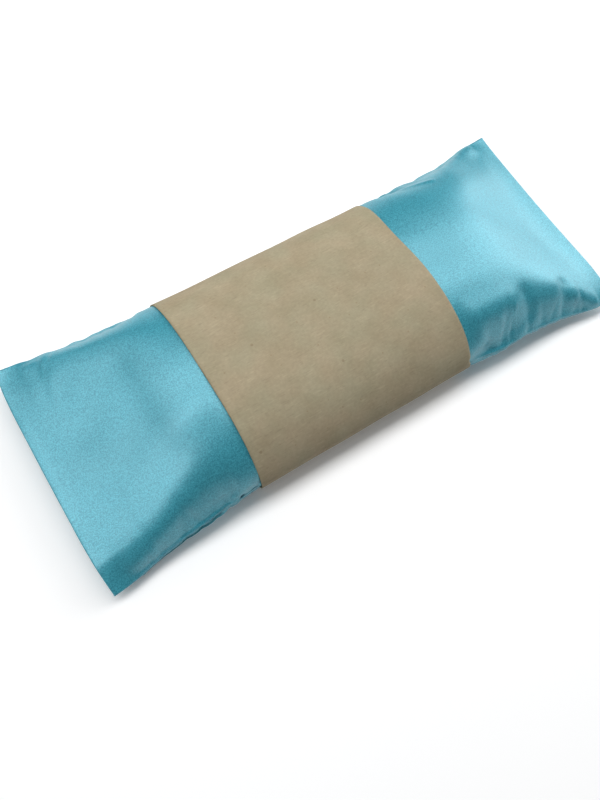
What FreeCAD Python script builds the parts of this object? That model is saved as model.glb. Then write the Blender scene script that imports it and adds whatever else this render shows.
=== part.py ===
"""Eye pillow: a satin cover sewn round a seed-filled cotton pouch, in a kraft paper band.

Frame: millimetres, +X along the pillow, +Y across it, +Z up. The origin is on the table,
below the middle of the pillow. Soft pieces have the shape they take lying on the table.
"""
import FreeCAD, Part
import math
import os

from FreeCAD import Vector

os.makedirs("parts", exist_ok=True)

# ---- driving dimensions, in millimetres -------------------------------------------------
# satin cover, measured between its four corners
COVER_LENGTH = 241.0
COVER_WIDTH = 97.5
SIDE_PULL_IN = 6.3        # how far each long edge is drawn in along the waist
END_PULL_IN = 1.5         # how far each short edge is drawn in at its middle
WAIST_MARGIN = 4.0        # straight length of the waist beyond the band
SEAM_HEIGHT = 11.0        # of the seam above the table, all round
COVER_TOP = 32.5          # of the crown above the table
UNDERSIDE_DROP = 14.0     # how far the underside would bulge below the seam with no table
SATIN = 0.35              # fabric thickness
COVER_EDGE = 1.25         # from the seam up to the fabric's outside, at the very edge
COVER_ALLOWANCE = 6.0     # seam allowance, turned inside

# cotton pouch
COTTON = 0.35
POUCH_EDGE = 1.15
POUCH_ALLOWANCE = 5.0
LINING_GAP = 0.3          # between cover and pouch, and between pouch and seed
SEED_MARGIN = 1.5         # from the pouch's edge in to the seed

# sewing
THREAD = 0.3              # thread diameter
NEEDLE_HOLE = 0.34
NEEDLE_LOOP = 0.24        # the thread is drawn thinner in its hole
STITCH_INSET = 0.75       # from the inside of an edge to its stitch line
STITCH_PITCH = 4.0
CLOSING_GAP = 60.0        # left open to turn and fill the cover, then closed by hand
CLOSING_PITCH = 4.0

# filling
BUD_COUNT = 36
BUD_LENGTH = 5.0
BUD_WIDTH = 2.4
BUD_COVER = 1.2           # seed above a bud
BUD_CLEARANCE = 0.15      # between a bud and the seed it lies in

# kraft paper band
BAND_WIDTH = 98.0         # along the pillow
BAND_CENTRE = -8.0        # its middle along the pillow, where it rests
PAPER = 0.3
PASTE = 0.1               # thickness of the adhesive between the lapped ends
BAND_CLEARANCE = 0.35     # between the pillow and the band
LAP = 18.0                # how far the ends of the strip overlap, under the pillow
LAP_CENTRE = 20.0         # middle of the lap, behind the middle of the underside
PASTE_MARGIN = 2.0        # bare paper round the adhesive

# ---- how the fabric swells between its edges --------------------------------------------
LENGTH_POWER = 3.4        # flat along the middle, falling away at the ends
WIDTH_POWER = 3.0
WIDTH_ROUNDING = 0.7
FLARE_POWER = 2.0         # from the waist out to the corners
GRID_ALONG = 17
GRID_ACROSS = 13
BUDS_ALONG = 0.65         # buds lie within this share of the way to the ends
BUDS_ACROSS = 0.5         # and of the way to the long edges

BIG = 2.0 * (COVER_LENGTH + COVER_WIDTH)    # half the side of a box that holds everything
TOUCH = 1e-5                                # points nearer than this are one
BAND_LAYERS = 2.0 * PAPER + PASTE           # paper under the pillow where the ends lap
WAIST = abs(BAND_CENTRE) + BAND_WIDTH / 2 + WAIST_MARGIN    # half the length of the waist


def swell(u, v):
    """Share of the full crown at u along and v across, both from -1 to 1."""
    along = max(0.0, 1.0 - abs(u) ** LENGTH_POWER)
    across = max(0.0, 1.0 - abs(v) ** WIDTH_POWER) ** WIDTH_ROUNDING
    return along * across


def half_length(v, inset):
    """From the middle to the end of an outline that is moved in by inset."""
    return COVER_LENGTH / 2 - inset - END_PULL_IN * (1 - v * v)


def half_width(u, inset):
    """From the middle to the long edge of an outline that is moved in by inset: straight
    along the waist, where the band goes round, and flaring from there to the corners."""
    waist = 2 * WAIST / COVER_LENGTH
    flare = max(0.0, (abs(u) - waist) / (1 - waist)) ** FLARE_POWER
    return COVER_WIDTH / 2 - inset - SIDE_PULL_IN * (1 - flare)


def plan_point(u, v, inset, z):
    return Vector(u * half_length(v, inset), v * half_width(u, inset), z)


def spread(count):
    """Values from -1 to 1 that crowd towards both ends."""
    return [math.sin(math.pi / 2 * (2.0 * i / (count - 1) - 1)) for i in range(count)]


# ---- solids from the outline ------------------------------------------------------------

def box_between(low, high):
    size = high - low
    return Part.makeBox(size.x, size.y, size.z, low)


def slab(z_low, z_high):
    """Everything between two heights."""
    return box_between(Vector(-BIG, -BIG, z_low), Vector(BIG, BIG, z_high))


def swollen_patches(inset, base, crown):
    """The top (crown above 0) or underside (crown below 0) of a filled bag, as one smooth
    surface in four quarters."""
    grid = []
    for u in spread(GRID_ALONG):
        row = [plan_point(u, v, inset, base + crown * swell(u, v)) for v in spread(GRID_ACROSS)]
        grid.append(row)
    surface = Part.BSplineSurface()
    surface.interpolate(grid)
    u_start, u_end, v_start, v_end = surface.bounds()
    u_middle = (u_start + u_end) / 2
    v_middle = (v_start + v_end) / 2
    patches = []
    for u_range in ((u_start, u_middle), (u_middle, u_end)):
        for v_range in ((v_start, v_middle), (v_middle, v_end)):
            patch = surface.copy()
            patch.segment(*u_range, *v_range)
            patches.append(patch.toShape())
    return patches


def at_height(edge, z):
    return all(abs(vertex.Z - z) < TOUCH for vertex in edge.Vertexes)


def bag(inset, edge, top, drop, floor):
    """A filled bag. Its outline is moved in by inset, and its rim reaches edge above and
    below the seam. Its crown is at height top. Its underside bulges drop below the seam
    and is cut off flat at floor."""
    upper = swollen_patches(inset, SEAM_HEIGHT + edge, top - SEAM_HEIGHT - edge)
    lower = swollen_patches(inset, SEAM_HEIGHT - edge, edge - drop)
    rims = []
    for high_patch, low_patch in zip(upper, lower):
        for high, low in zip(high_patch.Edges, low_patch.Edges):
            if at_height(high, SEAM_HEIGHT + edge):
                rims.append(Part.makeRuledSurface(high, low))
    shell = Part.Shell(upper + lower + rims)
    shell.sewShape()
    solid = Part.Solid(shell)
    if solid.Volume < 0:
        solid.reverse()
    return solid.common(slab(floor, BIG))


def outline_edge(inset, fixed, at, z):
    """One side of the outline: a short one where u is fixed, a long one where v is."""
    points = []
    for s in spread(GRID_ALONG):
        u, v = (at, s) if fixed == "u" else (s, at)
        points.append(plan_point(u, v, inset, z))
    curve = Part.BSplineCurve()
    curve.interpolate(points)
    return curve.toShape()


SIDES = (("v", -1), ("u", 1), ("v", 1), ("u", -1))


def outline_plate(inset, z_low, z_high):
    """The outline, moved in by inset, as a flat plate between two heights."""
    edges = [outline_edge(inset, fixed, at, z_low) for fixed, at in SIDES]
    wire = Part.Wire(Part.__sortEdges__(edges))
    return Part.Face(wire).extrude(Vector(0, 0, z_high - z_low))


def frame_plate(inset_out, inset_in, z_low, z_high):
    """A flat frame that follows the outline."""
    return outline_plate(inset_out, z_low, z_high).cut(outline_plate(inset_in, z_low, z_high))


# ---- sewing -----------------------------------------------------------------------------

def stitch_places(inset, pitch):
    """Needle holes along the four edges, about a pitch apart and clear of the corners."""
    places = []
    for fixed, at in SIDES:
        edge = outline_edge(inset, fixed, at, SEAM_HEIGHT)
        count = int(edge.Length / pitch)
        places += edge.discretize(Number=count + 1)[1:-1]
    return places


def needle_pin(point, diameter, z_low, z_high):
    """The thread, or its hole, through the fabric at one place."""
    base = Vector(point.x, point.y, z_low)
    return Part.makeCylinder(diameter / 2, z_high - z_low, base)


def lockstitch(line, fabric, places, left_out=None):
    """The two threads of a lockstitch. The needle thread runs along the upper seam
    allowance and loops down each hole to the middle of the seam, and the bobbin thread
    below is its mirror image."""
    near = SEAM_HEIGHT + fabric
    run = frame_plate(line - THREAD / 2, line + THREAD / 2, near, near + THREAD)
    if left_out is not None:
        run = run.cut(left_out)
    loops = [needle_pin(place, NEEDLE_LOOP, SEAM_HEIGHT, near + THREAD / 2) for place in places]
    needle = run.fuse(loops)
    return needle, needle.mirror(Vector(0, 0, SEAM_HEIGHT), Vector(0, 0, 1))


def sewn_panels(outside, inside, inset, fabric, allowance, places):
    """The upper and lower panel of a bag, with seam allowances turned inside and pierced."""
    allowances = frame_plate(inset - fabric, inset + fabric + allowance,
                             SEAM_HEIGHT - fabric, SEAM_HEIGHT + fabric)
    wall = outside.cut(inside.cut(allowances))
    low, high = SEAM_HEIGHT - 2 * fabric, SEAM_HEIGHT + 2 * fabric
    wall = wall.cut(Part.makeCompound([needle_pin(p, NEEDLE_HOLE, low, high) for p in places]))
    return wall.common(slab(SEAM_HEIGHT, BIG)), wall.common(slab(-BIG, SEAM_HEIGHT))


def closing_stitches(line):
    """The hand-sewn running stitch that shuts the gap in the right-hand end: the thread
    and its holes. It runs above and below the seam allowances by turns."""
    above = SEAM_HEIGHT + SATIN
    below = SEAM_HEIGHT - SATIN - THREAD
    count = int(CLOSING_GAP / CLOSING_PITCH)
    step = CLOSING_GAP / count
    half = half_width(1, line)
    holes, thread = [], None
    for i in range(count + 1):
        y = step * i - CLOSING_GAP / 2
        holes.append(Vector(half_length(y / half, line), y, SEAM_HEIGHT))
    for i, hole in enumerate(holes):
        pin = needle_pin(hole, NEEDLE_LOOP, below + THREAD / 2, above + THREAD / 2)
        thread = pin if thread is None else thread.fuse(pin)
        if i < count:
            run = Part.makeBox(THREAD, step + THREAD, THREAD)
            run.translate(Vector(-THREAD / 2, -THREAD / 2, 0))
            turn = math.degrees(math.atan2(hole.x - holes[i + 1].x, step))
            run.rotate(Vector(0, 0, 0), Vector(0, 0, 1), turn)
            run.translate(Vector(hole.x, hole.y, above if i % 2 == 0 else below))
            thread = thread.fuse(run)
    return thread, holes


def in_closing_gap(point):
    return point.x > half_length(0, COVER_ALLOWANCE) and abs(point.y) < CLOSING_GAP / 2


# ---- satin cover ------------------------------------------------------------------------

def over_band(lift, margin):
    """The space below the pillow that the band takes, up to lift above the table."""
    half = BAND_WIDTH / 2 + BAND_CLEARANCE + margin
    return box_between(Vector(BAND_CENTRE - half, -BIG, -BIG),
                       Vector(BAND_CENTRE + half, BIG, lift))


def make_cover(places):
    """The satin panels. The underside lies on the table, and on the band where that is."""
    lift = BAND_LAYERS + BAND_CLEARANCE
    outside = bag(0.0, COVER_EDGE, COVER_TOP, UNDERSIDE_DROP, 0.0)
    inside = bag(SATIN, COVER_EDGE - SATIN, COVER_TOP - SATIN, UNDERSIDE_DROP - SATIN, SATIN)
    return sewn_panels(outside.cut(over_band(lift, 0.0)),
                       inside.cut(over_band(lift + SATIN, SATIN)),
                       0.0, SATIN, COVER_ALLOWANCE, places)


# ---- cotton pouch and its filling -------------------------------------------------------

POUCH_INSET = SATIN + COVER_ALLOWANCE + LINING_GAP
POUCH_TOP = COVER_TOP - SATIN - LINING_GAP
POUCH_FLOOR = BAND_LAYERS + BAND_CLEARANCE + SATIN + LINING_GAP
POUCH_DROP = UNDERSIDE_DROP - SATIN - LINING_GAP
SEED_INSET = POUCH_INSET + COTTON + SEED_MARGIN
SEED_EDGE = COTTON + THREAD + LINING_GAP    # clear of the seam allowances and threads
SEED_TOP = POUCH_TOP - COTTON - LINING_GAP


def make_pouch(places):
    outside = bag(POUCH_INSET, POUCH_EDGE, POUCH_TOP, POUCH_DROP, POUCH_FLOOR)
    inside = bag(POUCH_INSET + COTTON, POUCH_EDGE - COTTON, POUCH_TOP - COTTON,
                 POUCH_DROP - COTTON, POUCH_FLOOR + COTTON)
    return sewn_panels(outside, inside, POUCH_INSET, COTTON, POUCH_ALLOWANCE, places)


def bud_places():
    """Where the lavender lies in the seed, scattered evenly by the golden ratio: a point
    just below the top of the seed, and the bud's direction in degrees."""
    golden = (math.sqrt(5) - 1) / 2
    places = []
    for i in range(BUD_COUNT):
        u = BUDS_ALONG * (2 * (i + 0.5) / BUD_COUNT - 1)
        v = BUDS_ACROSS * (2 * ((i * golden) % 1.0) - 1)
        top = SEAM_HEIGHT + SEED_EDGE + (SEED_TOP - SEAM_HEIGHT - SEED_EDGE) * swell(u, v)
        point = plan_point(u, v, SEED_INSET, top - BUD_COVER - BUD_WIDTH / 2)
        places.append((point, 360.0 * ((i * golden * golden) % 1.0)))
    return places


def bud(place, grown):
    """A dried bud: a barrel with rounded ends, lying level. grown is added all round."""
    point, turn = place
    radius = BUD_WIDTH / 2 + grown
    straight = BUD_LENGTH - BUD_WIDTH
    barrel = Part.makeCylinder(radius, straight, Vector(-straight / 2, 0, 0), Vector(1, 0, 0))
    for end in (-straight / 2, straight / 2):
        barrel = barrel.fuse(Part.makeSphere(radius, Vector(end, 0, 0)))
    barrel.rotate(Vector(0, 0, 0), Vector(0, 0, 1), turn)
    barrel.translate(point)
    return barrel


def make_seed(places):
    """The flaxseed as one body, with room for the pouch's seam allowances and the buds."""
    body = bag(SEED_INSET, SEED_EDGE, SEED_TOP, POUCH_DROP - COTTON - LINING_GAP,
               POUCH_FLOOR + COTTON + LINING_GAP)
    groove = frame_plate(0.0, POUCH_INSET + COTTON + POUCH_ALLOWANCE + LINING_GAP,
                         SEAM_HEIGHT - SEED_EDGE, SEAM_HEIGHT + SEED_EDGE)
    pockets = [bud(place, BUD_CLEARANCE) for place in places]
    return body.cut(groove).cut(Part.makeCompound(pockets))


# ---- kraft paper band -------------------------------------------------------------------

def band_outline(grown):
    """The pillow's widest cross-section, grown all round, as a face across the pillow."""
    half = half_width(0, -grown)
    top_base = SEAM_HEIGHT + COVER_EDGE
    low_base = SEAM_HEIGHT - COVER_EDGE
    upper, lower = [], []
    for v in spread(GRID_ALONG):
        share = swell(0, v)
        upper.append(Vector(0, v * half, top_base + (COVER_TOP - top_base + grown) * share))
        lower.append(Vector(0, v * half, low_base - (UNDERSIDE_DROP - COVER_EDGE + grown) * share))
    curves = []
    for points in (upper, lower):
        curve = Part.BSplineCurve()
        curve.interpolate(points)
        curves.append(curve.toShape())
    rims = [Part.makeLine(upper[i], lower[i]) for i in (0, -1)]
    face = Part.Face(Part.Wire(Part.__sortEdges__(curves + rims)))
    return face.extrude(Vector(BAND_WIDTH, 0, 0))


def make_band():
    """The strip, wrapped round the pillow, with its ends lapped on the underside, and the
    adhesive between them. The outer end goes under the pillow to the back of the lap, and
    the inner end lies on it."""
    start, end = LAP_CENTRE - LAP / 2, LAP_CENTRE + LAP / 2
    outer = band_outline(BAND_CLEARANCE + PAPER).common(slab(0.0, BIG))
    inner = band_outline(BAND_CLEARANCE).common(slab(PAPER, BIG))
    lap_floor = PAPER + PASTE
    inner_end = outer.common(box_between(Vector(0, start, lap_floor), Vector(BIG, BIG, BAND_LAYERS)))
    below_inner_end = box_between(Vector(0, end, -BIG), Vector(BIG, BIG, lap_floor))
    strip = outer.cut(inner).cut(below_inner_end).fuse(inner_end).removeSplitter()
    paste = box_between(Vector(PASTE_MARGIN, start + PASTE_MARGIN, PAPER),
                        Vector(BAND_WIDTH - PASTE_MARGIN, end - PASTE_MARGIN, lap_floor))
    for piece in (strip, paste):
        piece.translate(Vector(BAND_CENTRE - BAND_WIDTH / 2, 0, 0))
    return strip, paste


# ---- assembly ---------------------------------------------------------------------------

def save(name, shape):
    """Writes one node, made of one or more solids."""
    solids = shape.Solids
    kept = solids[0] if len(solids) == 1 else Part.makeCompound(solids)
    for solid in solids:
        if not solid.isValid() or solid.Volume <= 0:
            raise ValueError(name)
    kept.exportStep("parts/%s.step" % name)
    print("%-22s %3d solids %10.1f mm3" % (name, len(solids), sum(s.Volume for s in solids)))


def main():
    cover_line = SATIN + STITCH_INSET
    closing, closing_holes = closing_stitches(cover_line)
    cover_places = [p for p in stitch_places(cover_line, STITCH_PITCH) if not in_closing_gap(p)]
    cover_top, cover_bottom = make_cover(cover_places + closing_holes)
    gap = box_between(Vector(half_length(0, COVER_ALLOWANCE), -CLOSING_GAP / 2 - THREAD, -BIG),
                      Vector(BIG, CLOSING_GAP / 2 + THREAD, BIG))
    save("cover_top_panel", cover_top)
    save("cover_bottom_panel", cover_bottom)
    needle, bobbin = lockstitch(cover_line, SATIN, cover_places, gap)
    save("cover_needle_thread", needle)
    save("cover_bobbin_thread", bobbin)
    save("closing_thread", closing)

    pouch_line = POUCH_INSET + COTTON + STITCH_INSET
    pouch_places = stitch_places(pouch_line, STITCH_PITCH)
    pouch_top, pouch_bottom = make_pouch(pouch_places)
    save("pouch_top_panel", pouch_top)
    save("pouch_bottom_panel", pouch_bottom)
    needle, bobbin = lockstitch(pouch_line, COTTON, pouch_places)
    save("pouch_needle_thread", needle)
    save("pouch_bobbin_thread", bobbin)

    places = bud_places()
    save("flaxseed_fill", make_seed(places))
    save("lavender_buds", Part.makeCompound([bud(place, 0.0) for place in places]))

    strip, paste = make_band()
    save("belly_band", strip)
    save("band_paste", paste)


main()
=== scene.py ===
"""Satin eye pillow in a kraft paper band: the looks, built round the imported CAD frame.

The cover is simulated as two satin sheets that hardly stretch, sewn along their edges and
pushed apart by the filling, on the table and inside the band. Its folds and gathers are
added after it. The cotton pouch, the seed and the threads follow the finished cover. Shapes
are made in millimetres and turned into metres when a mesh is made. X runs along the pillow,
and its front seam is at -Y.
"""
import math

import bpy
import numpy as np
from mathutils import Matrix, Vector


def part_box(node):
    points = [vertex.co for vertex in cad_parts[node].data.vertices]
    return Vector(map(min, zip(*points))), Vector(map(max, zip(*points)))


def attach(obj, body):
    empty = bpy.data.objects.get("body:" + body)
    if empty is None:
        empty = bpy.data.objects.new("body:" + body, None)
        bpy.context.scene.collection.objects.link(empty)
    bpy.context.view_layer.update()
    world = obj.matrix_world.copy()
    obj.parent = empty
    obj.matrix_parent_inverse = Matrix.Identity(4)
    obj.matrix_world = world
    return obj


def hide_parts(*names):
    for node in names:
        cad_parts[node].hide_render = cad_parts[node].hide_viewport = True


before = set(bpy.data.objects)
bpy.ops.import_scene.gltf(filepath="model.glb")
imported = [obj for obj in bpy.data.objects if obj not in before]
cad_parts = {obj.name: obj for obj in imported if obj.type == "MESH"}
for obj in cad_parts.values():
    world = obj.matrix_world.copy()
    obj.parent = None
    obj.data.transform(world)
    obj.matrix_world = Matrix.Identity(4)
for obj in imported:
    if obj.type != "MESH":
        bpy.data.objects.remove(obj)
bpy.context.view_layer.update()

MM = 0.001


def node_box(node):
    """Lowest and highest corner of a CAD node, in millimetres."""
    low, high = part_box(node)
    return np.array(low) / MM, np.array(high) / MM


BAND_LOW, BAND_HIGH = node_box("belly_band")
SEAM_HEIGHT = node_box("cover_top_panel")[0][2]

# ---- fabric and sewing ----
SATIN = 0.35
COTTON = 0.35
PAPER = 0.3
THREAD = 0.28  # diameter
FLAT_LENGTH = 245.0  # of a satin panel from seam to seam, laid flat
FLAT_WIDTH = 97.5
LEFT_BOW = 5.5  # how far the left end bows out between its corners
RIGHT_BOW = -3.0
BOW_REACH = 0.225  # share of the length over which an end bows
CELLS_ALONG, CELLS_ACROSS = 122, 48  # simulated cells, about 2 mm long and wide
CELL_LENGTH, CELL_WIDTH = FLAT_LENGTH / CELLS_ALONG, FLAT_WIDTH / CELLS_ACROSS
VOLUME = 455.0  # inside the cover, in cubic centimetres
STEPS = 220
PASSES = 8  # constraint passes a step
BEND = 0.15  # how stiffly the satin resists bending
DIAGONAL_HOLD = 0.12  # how stiffly it resists a skew pull
SMOOTHING = 6  # passes that take the jitter of the cells out at the end
END_ROWS = (1, 2, 3, 4, -5, -4, -3, -2)  # rows of cells beside the ends, evened out further
SEAM_SMOOTHING = 10  # passes that fair the seams
WIDTH_EASE = (0.09, 0.03)  # how much wider the upper and lower panel are between their ends
FREE_TOP = 32.3  # highest point of the filling outside the band
FREE_SPREAD = 0.08  # how fast the pillow widens away from the band
SEAM_GATHER = 0.03  # how much the stitches shorten the long seams
GATHER_REACH = 4.0  # how far into the panel the gathers run
LEFT_WEDGE = (0.66, 0.0022)  # the filling's thickness grows from an end by a d - b d^2
RIGHT_WEDGE = (0.8, 0.004)
WEDGE_REACH = 45.0  # how far from an end that limit holds
END_LIFT = 8.2  # how high the ends stand off the table
LEFT_LIFT = 60.0  # how far from an end the underside comes down to the table
RIGHT_LIFT = 45.0
SIDE_SLACK = 12.0  # how far from the seams the filling's push fades in
END_ROUNDING = 16.0  # how far in from the long seams the ends reach their thickness
BACK_ROUNDING = 12.0  # how much further at the right end's back
FRONT_SHOULDER = 1.8  # how much squarer the right-hand end is at the front
SIDE_FACE = 1.62  # how fast the thickness grows from the long seams
BAND_FACE = 1.92  # the same inside the band
FACE_REACH = 18.0  # how far in from the long seams that holds
FACE_CHANGE = 18.0  # how far outside the band one turns into the other
BAND_SIDE = 9.75  # height at which the paper turns under the pillow at its sides
BAND_BEND = 13.4  # how round it turns
BAND_ROUND = 0.7  # how square its shoulders are
SHOULDER_HEIGHT = SEAM_HEIGHT + 1.25  # height from which the paper arches over the pillow
HALF_WAIST = BAND_HIGH[1] - 0.65  # half the cover's width inside the band
WAIST_TOP = BAND_HIGH[2] - 0.55  # the cover's height inside the band
OFF_TABLE = 0.2  # from the table to the lowest satin
OFF_PAPER = 0.9  # how much more inside the band
NO_LIMIT = 1e9


def smooth(t):
    t = np.clip(t, 0, 1)
    return t * t * (3 - 2 * t)


def sheet_normal(grid):
    """Area-weighted normals of one sheet."""
    return np.cross(np.gradient(grid, axis=0), np.gradient(grid, axis=1))


def outward(points):
    """The same for the two panels, out of the pillow."""
    return np.stack([sheet_normal(points[0]), -sheet_normal(points[1])])


def neighbours(field):
    """The sum of the four neighbours of each inner cell of the two panels."""
    return field[:, 2:, 1:-1] + field[:, :-2, 1:-1] + field[:, 1:-1, 2:] + field[:, 1:-1, :-2]


def starting_sheets(u, v):
    """The two panels before the filling pushes them apart: slightly domed and uneven."""
    dome = (1 - u ** 4) * (1 - v ** 4)
    points = np.zeros((2, *u.shape, 3))
    points[..., 0] = u * FLAT_LENGTH / 2 * 0.975
    points[..., 1] = v * FLAT_WIDTH / 2 * (0.965 - 0.03 * (1 - u * u))
    points[0, ..., 2] = SEAM_HEIGHT + 15 * dome
    points[1, ..., 2] = SEAM_HEIGHT - 9 * dome
    noise = np.random.default_rng(3).normal(0, 1, points.shape[:3])
    for _ in range(2):
        blurred = noise.copy()
        blurred[:, 1:-1, 1:-1] = (neighbours(noise) + 2 * noise[:, 1:-1, 1:-1]) / 6
        noise = blurred
    points[..., 2] += 0.6 * noise
    return points


def resting_lengths(u, v, from_side):
    """The lengths of the cells' sides along and across the unstretched panels."""
    along = CELL_LENGTH * (1 - SEAM_GATHER * np.exp(-from_side[:-1] / GATHER_REACH))
    bow = np.where(u[:-1] < 0, LEFT_BOW, RIGHT_BOW) * (abs(u[:-1]) > 1 - 2 * BOW_REACH)
    along *= 1 + bow / (BOW_REACH * FLAT_LENGTH) * (1 - v[:-1] ** 2)
    across = CELL_WIDTH * (1 + np.array(WIDTH_EASE)[:, None, None] * (1 - u[:, :-1] ** 4))
    return along, across


def filling_limits(u, v, from_end, from_side):
    """How far apart the panels may stand, and how high off the table they lie."""
    apart = np.zeros_like(from_end)
    lifted = np.zeros_like(from_end)
    ends = ((u < 0, LEFT_WEDGE, LEFT_LIFT), (u >= 0, RIGHT_WEDGE, RIGHT_LIFT))
    for here, (rise, fall), reach in ends:
        d = np.minimum(from_end, rise / fall / 2)
        apart[here] = (rise * d - fall * d * d)[here]
        lifted[here] = (END_LIFT * np.clip(1 - from_end / reach, 0, 1) ** 2)[here]
    apart[from_end > WEDGE_REACH] = NO_LIMIT
    rounding = END_ROUNDING + BACK_ROUNDING * ((u > 0) & (v > 0))
    apart *= np.sqrt(1 - (1 - np.minimum(from_side / rounding, 1)) ** 2)
    band_middle = (BAND_LOW[0] + BAND_HIGH[0]) / 2
    from_band = abs(u * FLAT_LENGTH / 2 - band_middle) - (BAND_HIGH[0] - BAND_LOW[0]) / 2
    face = BAND_FACE + (SIDE_FACE - BAND_FACE) * smooth(from_band / FACE_CHANGE)
    apart = np.minimum(apart, np.where(from_side < FACE_REACH, face * from_side, NO_LIMIT))
    return apart, lifted


def weld(points):
    """Joins the panels along their edges, which drift slowly to their resting height."""
    for edge in (np.s_[0], np.s_[-1], np.s_[:, 0], np.s_[:, -1]):
        middle = (points[0][edge] + points[1][edge]) / 2
        middle[..., 2] += (SEAM_HEIGHT - 1.5 - middle[..., 2]) * 0.001
        points[0][edge] = middle
        points[1][edge] = middle


def hold(a, b, rest, stretch, squeeze):
    """Moves pairs of points towards their resting distance, by shares of what they are off."""
    gap = b - a
    length = np.sqrt(np.einsum("...k,...k->...", gap, gap)) + 1e-9
    share = 1 - rest / length
    share *= np.where(share > 0, stretch / 2, squeeze / 2)
    gap *= share[..., None]
    a += gap
    b -= gap


def pairs(points, axis, apart, first, step):
    """Every step-th point along an axis, the one that lies apart cells on, and their rows."""
    before = (slice(None),) * axis
    rows = slice(first, points.shape[axis] - apart, step)
    later = slice(first + apart, None, step)
    return points[before + (rows,)], points[before + (later,)], rows


def hold_cloth(points, rest_along, rest_across):
    """One pass that keeps the satin from stretching, skewing and creasing."""
    diagonal = math.hypot(CELL_LENGTH, CELL_WIDTH)
    for first in (0, 1):
        a, b, rows = pairs(points, 1, 1, first, 2)
        hold(a, b, rest_along[rows], 1.0, 0.2)
        c, d, columns = pairs(points, 2, 1, first, 2)
        hold(c, d, rest_across[..., columns], 1.0, 0.2)
        hold(a[:, :, :-1], b[:, :, 1:], diagonal, DIAGONAL_HOLD, DIAGONAL_HOLD)
        hold(a[:, :, 1:], b[:, :, :-1], diagonal, DIAGONAL_HOLD, DIAGONAL_HOLD)
    for first in range(4):
        for axis, size in ((1, CELL_LENGTH), (2, CELL_WIDTH)):
            a, b, _ = pairs(points, axis, 2, first, 4)
            hold(a, b, 2 * size, 0.0, BEND)
    weld(points)


def hold_in(points, apart, lifted):
    """Keeps the panels off the table, inside the band, below the filling's top and uncrossed."""
    x, y, z = points[..., 0], points[..., 1], points[..., 2]
    over = smooth((np.minimum(x - BAND_LOW[0], BAND_HIGH[0] - x) + 1.0) / 2.0)
    paper = BAND_BEND * np.maximum(1 - (abs(y) / BAND_HIGH[1]) ** 3, 0) ** BAND_ROUND
    paper = np.maximum(BAND_SIDE - paper, 0)
    np.maximum(z, OFF_TABLE + (OFF_PAPER + paper) * over + lifted, out=z)
    outside = np.maximum(np.maximum(BAND_LOW[0] - x, x - BAND_HIGH[0]), 0)
    inside = outside == 0
    widest = np.where(inside, HALF_WAIST, NO_LIMIT)
    np.clip(y, -widest, widest, out=y)
    spread = HALF_WAIST + 0.3 + FREE_SPREAD * outside
    power = 3 + FRONT_SHOULDER * smooth((x - BAND_HIGH[0]) / 6) * smooth(-y / 10)
    section = np.maximum(1 - (abs(y) / spread) ** power, 0) ** BAND_ROUND
    top = np.where(inside, WAIST_TOP, FREE_TOP)
    np.minimum(z, SHOULDER_HEIGHT + (top - SHOULDER_HEIGHT) * section, out=z)
    gap = points[0] - points[1]
    length = np.linalg.norm(gap, axis=-1) + 1e-9
    gap *= (np.maximum(length - apart, 0) / length / 4)[..., None]
    points[0] -= gap
    points[1] += gap
    middle = (z[0] + z[1]) / 2
    np.maximum(z[0], middle, out=z[0])
    np.minimum(z[1], middle, out=z[1])


def even_lines(lines, passes):
    """Takes the jitter out of rows of points, whose first and last points stay."""
    for _ in range(passes):
        lines[..., 1:-1, :] = (lines[..., :-2, :] + 2 * lines[..., 1:-1, :] + lines[..., 2:, :]) / 4


def fair_cover(points, from_seam):
    """Evens the cells out, keeps the long seams outermost and fairs all four seams."""
    calm = (smooth((from_seam - 2.0) / 4.0) * 0.5)[..., None]
    for _ in range(SMOOTHING):
        blurred = points.copy()
        blurred[:, 1:-1, 1:-1] = neighbours(points) / 4
        points += (blurred - points) * calm
    for row in END_ROWS:
        even_lines(points[:, row], SMOOTHING)
    edges = ((0, 1, 2), (-1, -2, -3))
    for side, (seam, first, second) in zip((-1, 1), edges):
        reach = np.minimum((side * points[:, :, second, 1]).max(0) + 0.1, HALF_WAIST - 0.3)
        points[:, :, seam, 1] = side * np.maximum(side * points[:, :, seam, 1], reach)
        middle = side * (points[:, :, seam, 1] + points[:, :, second, 1]) / 2
        points[:, :, first, 1] = side * np.maximum(side * points[:, :, first, 1], middle)
    for field in (points, points.swapaxes(1, 2)):
        for seam, first, second in edges:
            line = (2 * field[:, :, first] - field[:, :, second]).mean(0)
            even_lines(line, SEAM_SMOOTHING)
            field[:, :, seam] = line


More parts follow.
